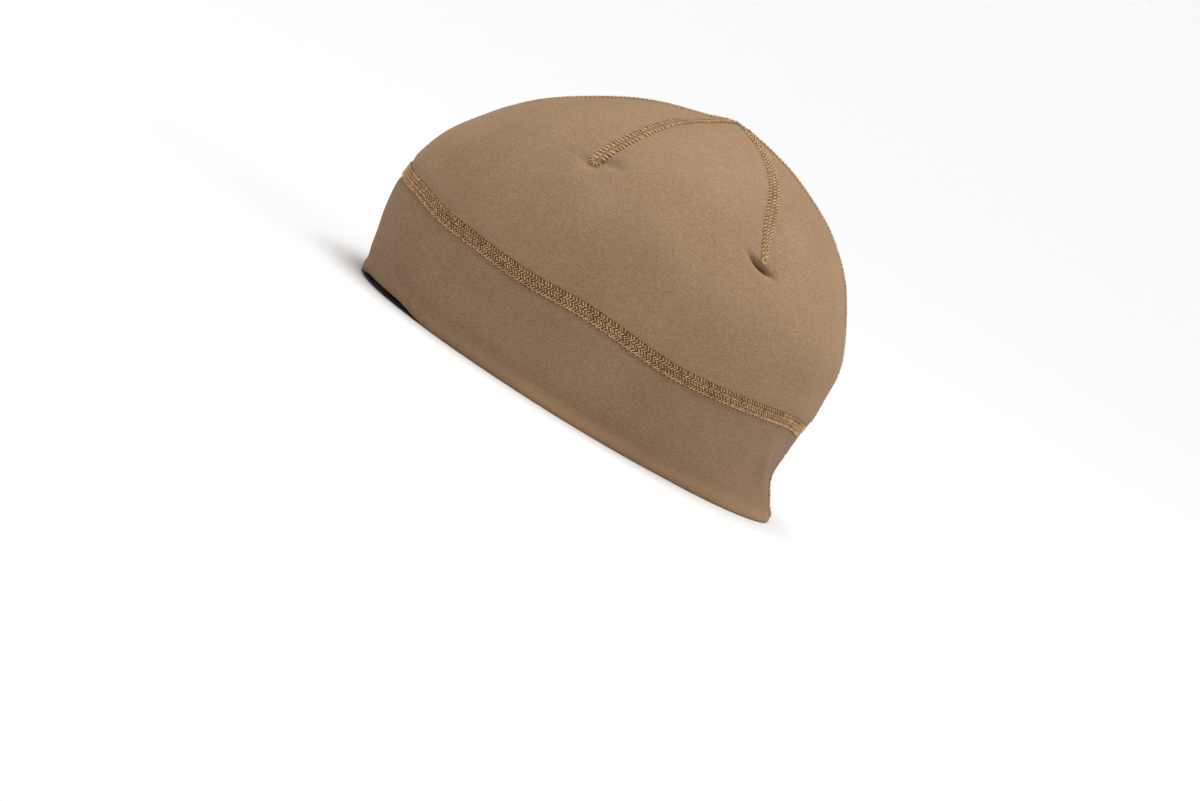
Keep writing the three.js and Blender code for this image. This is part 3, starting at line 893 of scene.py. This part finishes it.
def joined(name, base, threads, holes, under, thread, bare=False, side=0):
    """One piece of pressed cloth, threads, and dark marks of painted shade: needle holes and a shadow line. A
    bare one shows cloth beside the holes, and one with a side ends beside the middle seam on that side."""
    points, quads, ends = base
    places = np.arange(len(quads)) % len(RIBBON_SECTION)
    numbers = [BARE_CLOTH if bare and place in BARE_FACES else PRESSED_CLOTH for place in places]
    numbers += [PRESSED_CLOTH] * len(ends)
    faces = quads.tolist() + ends
    offset = len(points)
    points = [points]
    for number, meshes in ((THREAD, threads), (SHADE_MARK, holes)):
        for mesh_points, mesh_quads, triangles in meshes:
            points.append(mesh_points)
            faces += (mesh_quads + offset).tolist() + (triangles + offset).tolist()
            numbers += [number] * (len(mesh_quads) + len(triangles))
            offset += len(mesh_points)
    points = np.concatenate(points)
    if side:
        points[:, 0] = side * np.maximum(side * points[:, 0], (CROWN_SEAM_WIDTH + MITRE_GAP) / 2)
    piece = add_mesh(name, points, faces, [under, thread, painted_hole_shade, seam_cloth])
    piece.data.polygons.foreach_set("material_index", numbers)
    return piece


# Materials
class Nodes:
    """A small helper to write a material's nodes."""

    def __init__(self, name):
        self.material = bpy.data.materials.new(name)
        self.material.use_nodes = True
        self.tree = self.material.node_tree
        self.shader = self.tree.nodes["Principled BSDF"]

    def add(self, kind, links=None, **settings):
        node = self.tree.nodes.new(kind)
        for key, value in settings.items():
            setattr(node, key, value)
        for key, value in (links or {}).items():
            if isinstance(value, bpy.types.NodeSocket):
                self.tree.links.new(value, node.inputs[key])
            else:
                node.inputs[key].default_value = value
        return node

    def link(self, value, name):
        self.tree.links.new(value, self.shader.inputs[name])

    def math(self, operation, first, second=0.0):
        return self.add("ShaderNodeMath", {0: first, 1: second}, operation=operation).outputs[0]

    def noise(self, vector, scale, detail, roughness):
        links = {"Vector": vector, "Scale": scale, "Detail": detail, "Roughness": roughness}
        return self.add("ShaderNodeTexNoise", links).outputs[0]

    def streaks(self, across, along, lean):
        """Noise in short streaks that run round the cap and lean a little, another for each lean."""
        risen = self.math("ADD", along, self.math("MULTIPLY", across, lean))
        lengthwise = self.math("MULTIPLY", across, STREAK_ACROSS)
        crosswise = self.math("MULTIPLY", risen, STREAK_ALONG)
        place = self.add("ShaderNodeCombineXYZ", {0: lengthwise, 1: crosswise, 2: lean * STREAK_APART})
        return self.noise(place.outputs[0], scale=1.0, detail=2.0, roughness=0.6)

    def twill(self, across, along, lean, drift, share):
        """Slanted lines of the knit, which drift and fade from place to place."""
        place = self.math("ADD", self.math("MULTIPLY", across, lean), along)
        turn = self.weighted([(place, 2 * math.pi / TWILL_PITCH), (drift, TWILL_DRIFT)])
        return self.math("MULTIPLY", self.math("SINE", turn), share)

    def weighted(self, parts):
        total = 0.0
        for value, weight in parts:
            total = self.math("ADD", self.math("MULTIPLY", value, weight), total)
        return total

    def mixed(self, factor, first, second):
        links = {0: factor, 6: first, 7: second}
        return self.add("ShaderNodeMix", links, data_type="RGBA").outputs[2]

    def between(self, value, low, high, new_low=0.0, new_high=1.0):
        links = {"Value": value, "From Min": low, "From Max": high, "To Min": new_low, "To Max": new_high}
        return self.add("ShaderNodeMapRange", links).outputs[0]


def linear(color):
    """Linear colour of an sRGB triple from 0 to 255."""
    shares = np.array(color) / 255
    values = np.where(shares <= 0.04045, shares / 12.92, ((shares + 0.055) / 1.055) ** 2.4)
    return (*[float(value) for value in values], 1.0)


def hem_light_share(nodes, across, along, patches):
    """How much painted light the hem gets, for light reflected onto it: most at its edge, in soft patches, on
    the sides and the back.
    """
    low = nodes.between(along, HEM_LIGHT_NO_HEIGHT, HEM_LIGHT_FULL_HEIGHT)
    aside = nodes.math("ABSOLUTE", nodes.math("SUBTRACT", across, GIRTH_RADIUS * math.pi))
    behind = nodes.between(aside, HEM_LIGHT_NO_REACH, HEM_LIGHT_FULL_REACH)
    uneven = nodes.between(patches, 0.3, 0.7, 0.2, 0.5)
    return nodes.math("MULTIPLY", nodes.math("MULTIPLY", low, behind), uneven)


def jersey_material(name, light, dark, painted_hem_light=None):
    """Fine matt jersey: wales and courses of loops, slanted lines, mottled yarn and a soft nap."""
    nodes = Nodes(name)
    place = nodes.add("ShaderNodeTexCoord").outputs["Object"]
    across = nodes.add("ShaderNodeAttribute", attribute_name="wale").outputs["Fac"]
    along = nodes.add("ShaderNodeAttribute", attribute_name="course").outputs["Fac"]
    ridge = nodes.math("ABSOLUTE", nodes.math("SINE", nodes.math("MULTIPLY", across, math.pi / WALE_PITCH)))
    course_turn = nodes.weighted([(along, 2 * math.pi / COURSE_PITCH), (ridge, COURSE_BOW)])
    loops = nodes.weighted([(ridge, 0.7), (nodes.math("SINE", course_turn), 0.3)])
    rising = nodes.streaks(across, along, 0.4)
    falling = nodes.streaks(across, along, -0.25)
    grain = nodes.noise(place, scale=2300.0, detail=2.0, roughness=0.7)
    fuzz = nodes.noise(place, scale=520.0, detail=4.0, roughness=0.65)
    mottle = nodes.noise(place, scale=60.0, detail=3.0, roughness=0.55)
    patches = nodes.noise(place, scale=22.0, detail=2.0, roughness=0.5)
    turning = nodes.between(nodes.noise(place, scale=120.0, detail=1.0, roughness=0.5), 0.44, 0.56)
    up_left = nodes.twill(across, along, 1.0, mottle, turning)
    up_right = nodes.twill(across, along, -1.0, mottle, nodes.math("SUBTRACT", 1.0, turning))
    tone = nodes.weighted([
        (rising, 0.25),
        (falling, 0.25),
        (grain, 0.42),
        (fuzz, 0.06),
        (mottle, 0.08),
        (patches, 0.13),
        (loops, 0.05),
        (up_left, TWILL_WEIGHT),
        (up_right, TWILL_WEIGHT),
    ])
    color = nodes.mixed(nodes.between(tone, TONE_DARK, TONE_LIGHT), linear(dark), linear(light))
    # Painted light: the hem's edge is mixed towards a lighter, warmer colour, for light reflected onto it
    if painted_hem_light:
        color = nodes.mixed(hem_light_share(nodes, across, along, patches), color, linear(painted_hem_light))
    nodes.link(color, "Base Color")
    height = nodes.weighted([(loops, 0.5), (fuzz, 0.8), (grain, 0.3)])
    bump = nodes.add("ShaderNodeBump", {"Height": height, "Strength": 0.35, "Distance": 0.00012})
    nodes.link(bump.outputs[0], "Normal")
    nodes.link(nodes.between(fuzz, 0.3, 0.7, 0.82, 0.94), "Roughness")
    nodes.shader.inputs["Specular IOR Level"].default_value = 0.25
    nodes.shader.inputs["Sheen Weight"].default_value = 0.12
    nodes.shader.inputs["Sheen Roughness"].default_value = 0.5
    nodes.shader.inputs["Sheen Tint"].default_value = linear((214, 186, 156))
    return nodes.material


def thread_material(name, light, dark, roughness):
    """Lustrous looped thread, whose tone changes from stitch to stitch."""
    nodes = Nodes(name)
    place = nodes.add("ShaderNodeTexCoord").outputs["Object"]
    stitches = nodes.noise(place, scale=420.0, detail=2.0, roughness=0.6)
    patches = nodes.noise(place, scale=90.0, detail=2.0, roughness=0.5)
    fibres = nodes.noise(place, scale=4200.0, detail=2.0, roughness=0.6)
    shade = nodes.weighted([(stitches, 0.7), (patches, 0.3)])
    nodes.link(nodes.mixed(nodes.between(shade, 0.34, 0.68), linear(dark), linear(light)), "Base Color")
    bump = nodes.add("ShaderNodeBump", {"Height": fibres, "Strength": 0.3, "Distance": 0.00008})
    nodes.link(bump.outputs[0], "Normal")
    nodes.link(nodes.between(fibres, 0.3, 0.7, roughness - 0.07, roughness + 0.07), "Roughness")
    nodes.shader.inputs["Specular IOR Level"].default_value = 0.35
    nodes.shader.inputs["Sheen Weight"].default_value = 0.03
    return nodes.material


crown_jersey = jersey_material("crown_jersey_knit", light=(174, 143, 111), dark=(141, 114, 86))
# The band's jersey is the crown's made darker and warmer: painted shade for its upright sides, with painted
# light on its hem
band_jersey = jersey_material(
    "band_jersey_shaded_knit", light=(162, 133, 105), dark=(131, 105, 79), painted_hem_light=(184, 146, 108)
)
gold_thread = thread_material("seam_thread_gold", light=(226, 188, 143), dark=(181, 144, 101), roughness=0.55)
brown_thread = thread_material("seam_thread_brown", light=(236, 196, 147), dark=(168, 130, 89), roughness=0.6)
# The band seam's pressed cloth is dark: partly the seam's thread-coloured underlay, partly painted shade for
# the gaps between the threads
seam_base = thread_material("seam_base_brown", light=(124, 91, 56), dark=(88, 63, 38), roughness=0.85)
dart_base = thread_material("dart_base_tan", light=(160, 128, 88), dark=(126, 98, 66), roughness=0.85)
seam_cloth = thread_material("seam_cloth_tan", light=(128, 94, 56), dark=(94, 67, 40), roughness=0.9)
# Painted shade: the dark of the needle holes and of the shadow line under the band seam
painted_hole_shade = thread_material("needle_hole_painted_shade", light=(88, 60, 34), dark=(58, 40, 24), roughness=0.95)

# Cloth pieces
crown = add_crown(crown_jersey)
band = add_band(band_jersey)
for piece, node, slot in ((crown, "crown", "crown_jersey"), (band, "band", "band_jersey")):
    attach(piece, "root")
    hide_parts(node)


# Stitched seams
def finish_seam(piece, node):
    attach(piece, "root")
    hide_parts(node)


def seam_named(name):
    return next(seam for seam in CROWN_SEAMS if seam["name"] == name)


def add_band_seam(line):
    """A braid of four rows, needle holes along its upper edge, beads along its lower one and a painted shadow
    under them.
    """
    threads = stitch_rows(line, BRAID_ROWS, BRAID_STITCH, BAND_THREAD)
    beads = edge_thread(line, BAND_STITCH, share=-0.46, swing=0.25, rise=0.5, radius=BAND_THREAD, sides=5)
    # Painted shadow: a thin dark tube in the needle holes' dark material that draws the shadow under the
    # seam's lower edge
    shadow_line = edge_thread(line, BAND_STITCH, share=-0.53, swing=0, rise=0.12, radius=0.16, sides=4)
    threads.append(beads)
    holes = [needle_holes(line, share=0.44, pitch=BAND_STITCH, phase=0.25, radius=HOLE_RADIUS), shadow_line]
    base = ribbon(line, BAND_RIBBON_SHARE, BAND_RIBBON_STEP)
    piece = joined("band_seam_stitches", base, threads, holes, seam_base, brown_thread, bare=True)
    finish_seam(piece, "band_seam")


def add_crown_seam(node, line, columns, has_tip=True, side=0):
    """Three columns of single threads, or two of twin threads, and a fan of stitches round a dart's tip."""
    wide = len(columns) > 2
    radius = WIDE_DART_THREAD if wide else CROWN_THREAD
    threads = stitch_rows(line, columns, CROWN_STITCH, radius, 0 if wide else TWIN_GAP)
    if has_tip:
        threads.append(tip_fan(line))
    hole_radius = HOLE_RADIUS if wide else SMALL_HOLE_RADIUS
    holes = []
    for (_, edge, _, phase, _), (next_edge, *_) in zip(columns, columns[1:]):
        holes.append(needle_holes(line, (edge + next_edge) / 2, CROWN_STITCH, phase, hole_radius))
    base = ribbon(line, CROWN_RIBBON_SHARE, CROWN_RIBBON_STEP, has_tip)
    piece = joined(node + "_stitches", base, threads, holes, dart_base, gold_thread, side=side)
    finish_seam(piece, node)


def dart_top(seam):
    """The station where a dart starts, clear of the middle seam."""
    apart = math.radians(float(folded_turn(seam["top_turn"])))
    clear = (CROWN_SEAM_WIDTH / 2 + MITRE_GAP) / math.sin(apart)
    radii = plan_radius(seam["top_turn"], fine_stations[:-1])
    return fine_stations[:-1][radii > clear].max()


band_line = band_seam_line()
add_band_seam(band_line)

for seam in CROWN_SEAMS:
    if seam["name"].endswith("_seam"):
        tip_station = station_at(seam["tip"] * cap_height)
        line = SeamLine(*crown_seam_line(seam, tip_station, dart_top(seam)), CROWN_RIBBON_LIFT)
        columns = THREE_COLUMNS if "rear" in seam["name"] else TWO_COLUMNS
        side = 1 if seam["name"].startswith("left") else -1
        add_crown_seam(seam["name"], line, columns, side=side)

front, back = seam_named("front"), seam_named("back")
front_part = crown_seam_line(front, station_at(front["tip"] * cap_height), 1)
back_end = band_seam_level(180) + band_seam_width / 2 + SEAM_CLEARANCE
back_part = [values[::-1] for values in crown_seam_line(back, station_at(back_end), 1)]
middle_parts = [np.concatenate([a[:-1], b]) for a, b in zip(front_part, back_part)]
add_crown_seam("middle_seam", SeamLine(*middle_parts, CROWN_RIBBON_LIFT), TWO_COLUMNS)

nape_top = station_at(band_seam_level(180) - band_seam_width / 2 - SEAM_CLEARANCE)
nape_parts = crown_seam_line(back, station_at(NAPE_SEAM_END), nape_top)
add_crown_seam("nape_seam", SeamLine(*nape_parts, CROWN_RIBBON_LIFT), TWO_COLUMNS, has_tip=False)


# Floor, lights and camera
def add_floor():
    reach = FLOOR_REACH
    corners = [(-reach, -reach, 0), (reach, -reach, 0), (reach, reach, 0), (-reach, reach, 0)]
    mesh = bpy.data.meshes.new("floor")
    mesh.from_pydata(corners, [], [(0, 1, 2, 3)])
    nodes = Nodes("floor_pale")
    nodes.shader.inputs["Base Color"].default_value = (FLOOR_TONE, FLOOR_TONE, FLOOR_TONE, 1)
    nodes.shader.inputs["Roughness"].default_value = 0.95
    nodes.shader.inputs["Specular IOR Level"].default_value = 0.1
    mesh.materials.append(nodes.material)
    floor = bpy.data.objects.new("floor", mesh)
    bpy.context.scene.collection.objects.link(floor)


def add_light(name, kind, azimuth, elevation, power, distance=1.0, **settings):
    light = bpy.data.lights.new(name, kind)
    light.energy = power
    for key, value in settings.items():
        setattr(light, key, value)
    lamp = bpy.data.objects.new(name, light)
    plan, climb = math.radians(azimuth), math.radians(elevation)
    level = math.cos(climb)
    direction = Vector((math.sin(plan) * level, -math.cos(plan) * level, math.sin(climb)))
    lamp.location = direction * distance + Vector(LIGHT_TARGET)
    lamp.rotation_mode = "QUATERNION"
    lamp.rotation_quaternion = direction.to_track_quat("Z", "Y")
    bpy.context.scene.collection.objects.link(lamp)


def add_camera():
    elevation, roll = math.radians(PHOTO_ELEVATION), math.radians(PHOTO_ROLL)
    back_axis = Vector((math.cos(elevation), 0, math.sin(elevation)))
    level_right = Vector((0, 1, 0))
    level_up = back_axis.cross(level_right)
    right = math.cos(roll) * level_right + math.sin(roll) * level_up
    up = math.cos(roll) * level_up - math.sin(roll) * level_right
    data = bpy.data.cameras.new("camera")
    data.lens = PHOTO_LENS
    data.sensor_width = PHOTO_SENSOR
    data.clip_start, data.clip_end = NEAREST, FARTHEST
    camera = bpy.data.objects.new("camera", data)
    place = Vector(PHOTO_TARGET) * MM + back_axis * PHOTO_DISTANCE * MM
    camera.matrix_world = Matrix.Translation(place) @ Matrix((right, up, back_axis)).transposed().to_4x4()
    bpy.context.scene.collection.objects.link(camera)
    bpy.context.scene.camera = camera


def set_world():
    """A dim room with a pale strip at the level of the horizon, where the floor ends."""
    world = bpy.data.worlds.new("studio")
    world.use_nodes = True
    tree = world.node_tree
    place = tree.nodes.new("ShaderNodeTexCoord")
    split = tree.nodes.new("ShaderNodeSeparateXYZ")
    fade = tree.nodes.new("ShaderNodeMapRange")
    fade.interpolation_type = "SMOOTHSTEP"
    fade.inputs["From Min"].default_value = FADE_FROM
    fade.inputs["From Max"].default_value = FADE_TO
    fade.inputs["To Min"].default_value = HORIZON_LIGHT
    fade.inputs["To Max"].default_value = ROOM_LIGHT
    tree.links.new(place.outputs["Generated"], split.inputs[0])
    tree.links.new(split.outputs["Z"], fade.inputs["Value"])
    tree.links.new(fade.outputs[0], tree.nodes["Background"].inputs["Strength"])
    tree.nodes["Background"].inputs["Color"].default_value = (1, 1, 1, 1)
    bpy.context.scene.world = world


add_floor()
add_camera()
set_world()
add_light("overhead", "SUN", azimuth=98, elevation=86, power=3.42, angle=math.radians(50))
add_light("rear_key", "AREA", azimuth=166, elevation=34, power=4.8, distance=1.6, shape="DISK", size=1.1)
bpy.context.scene.view_settings.view_transform = "Standard"
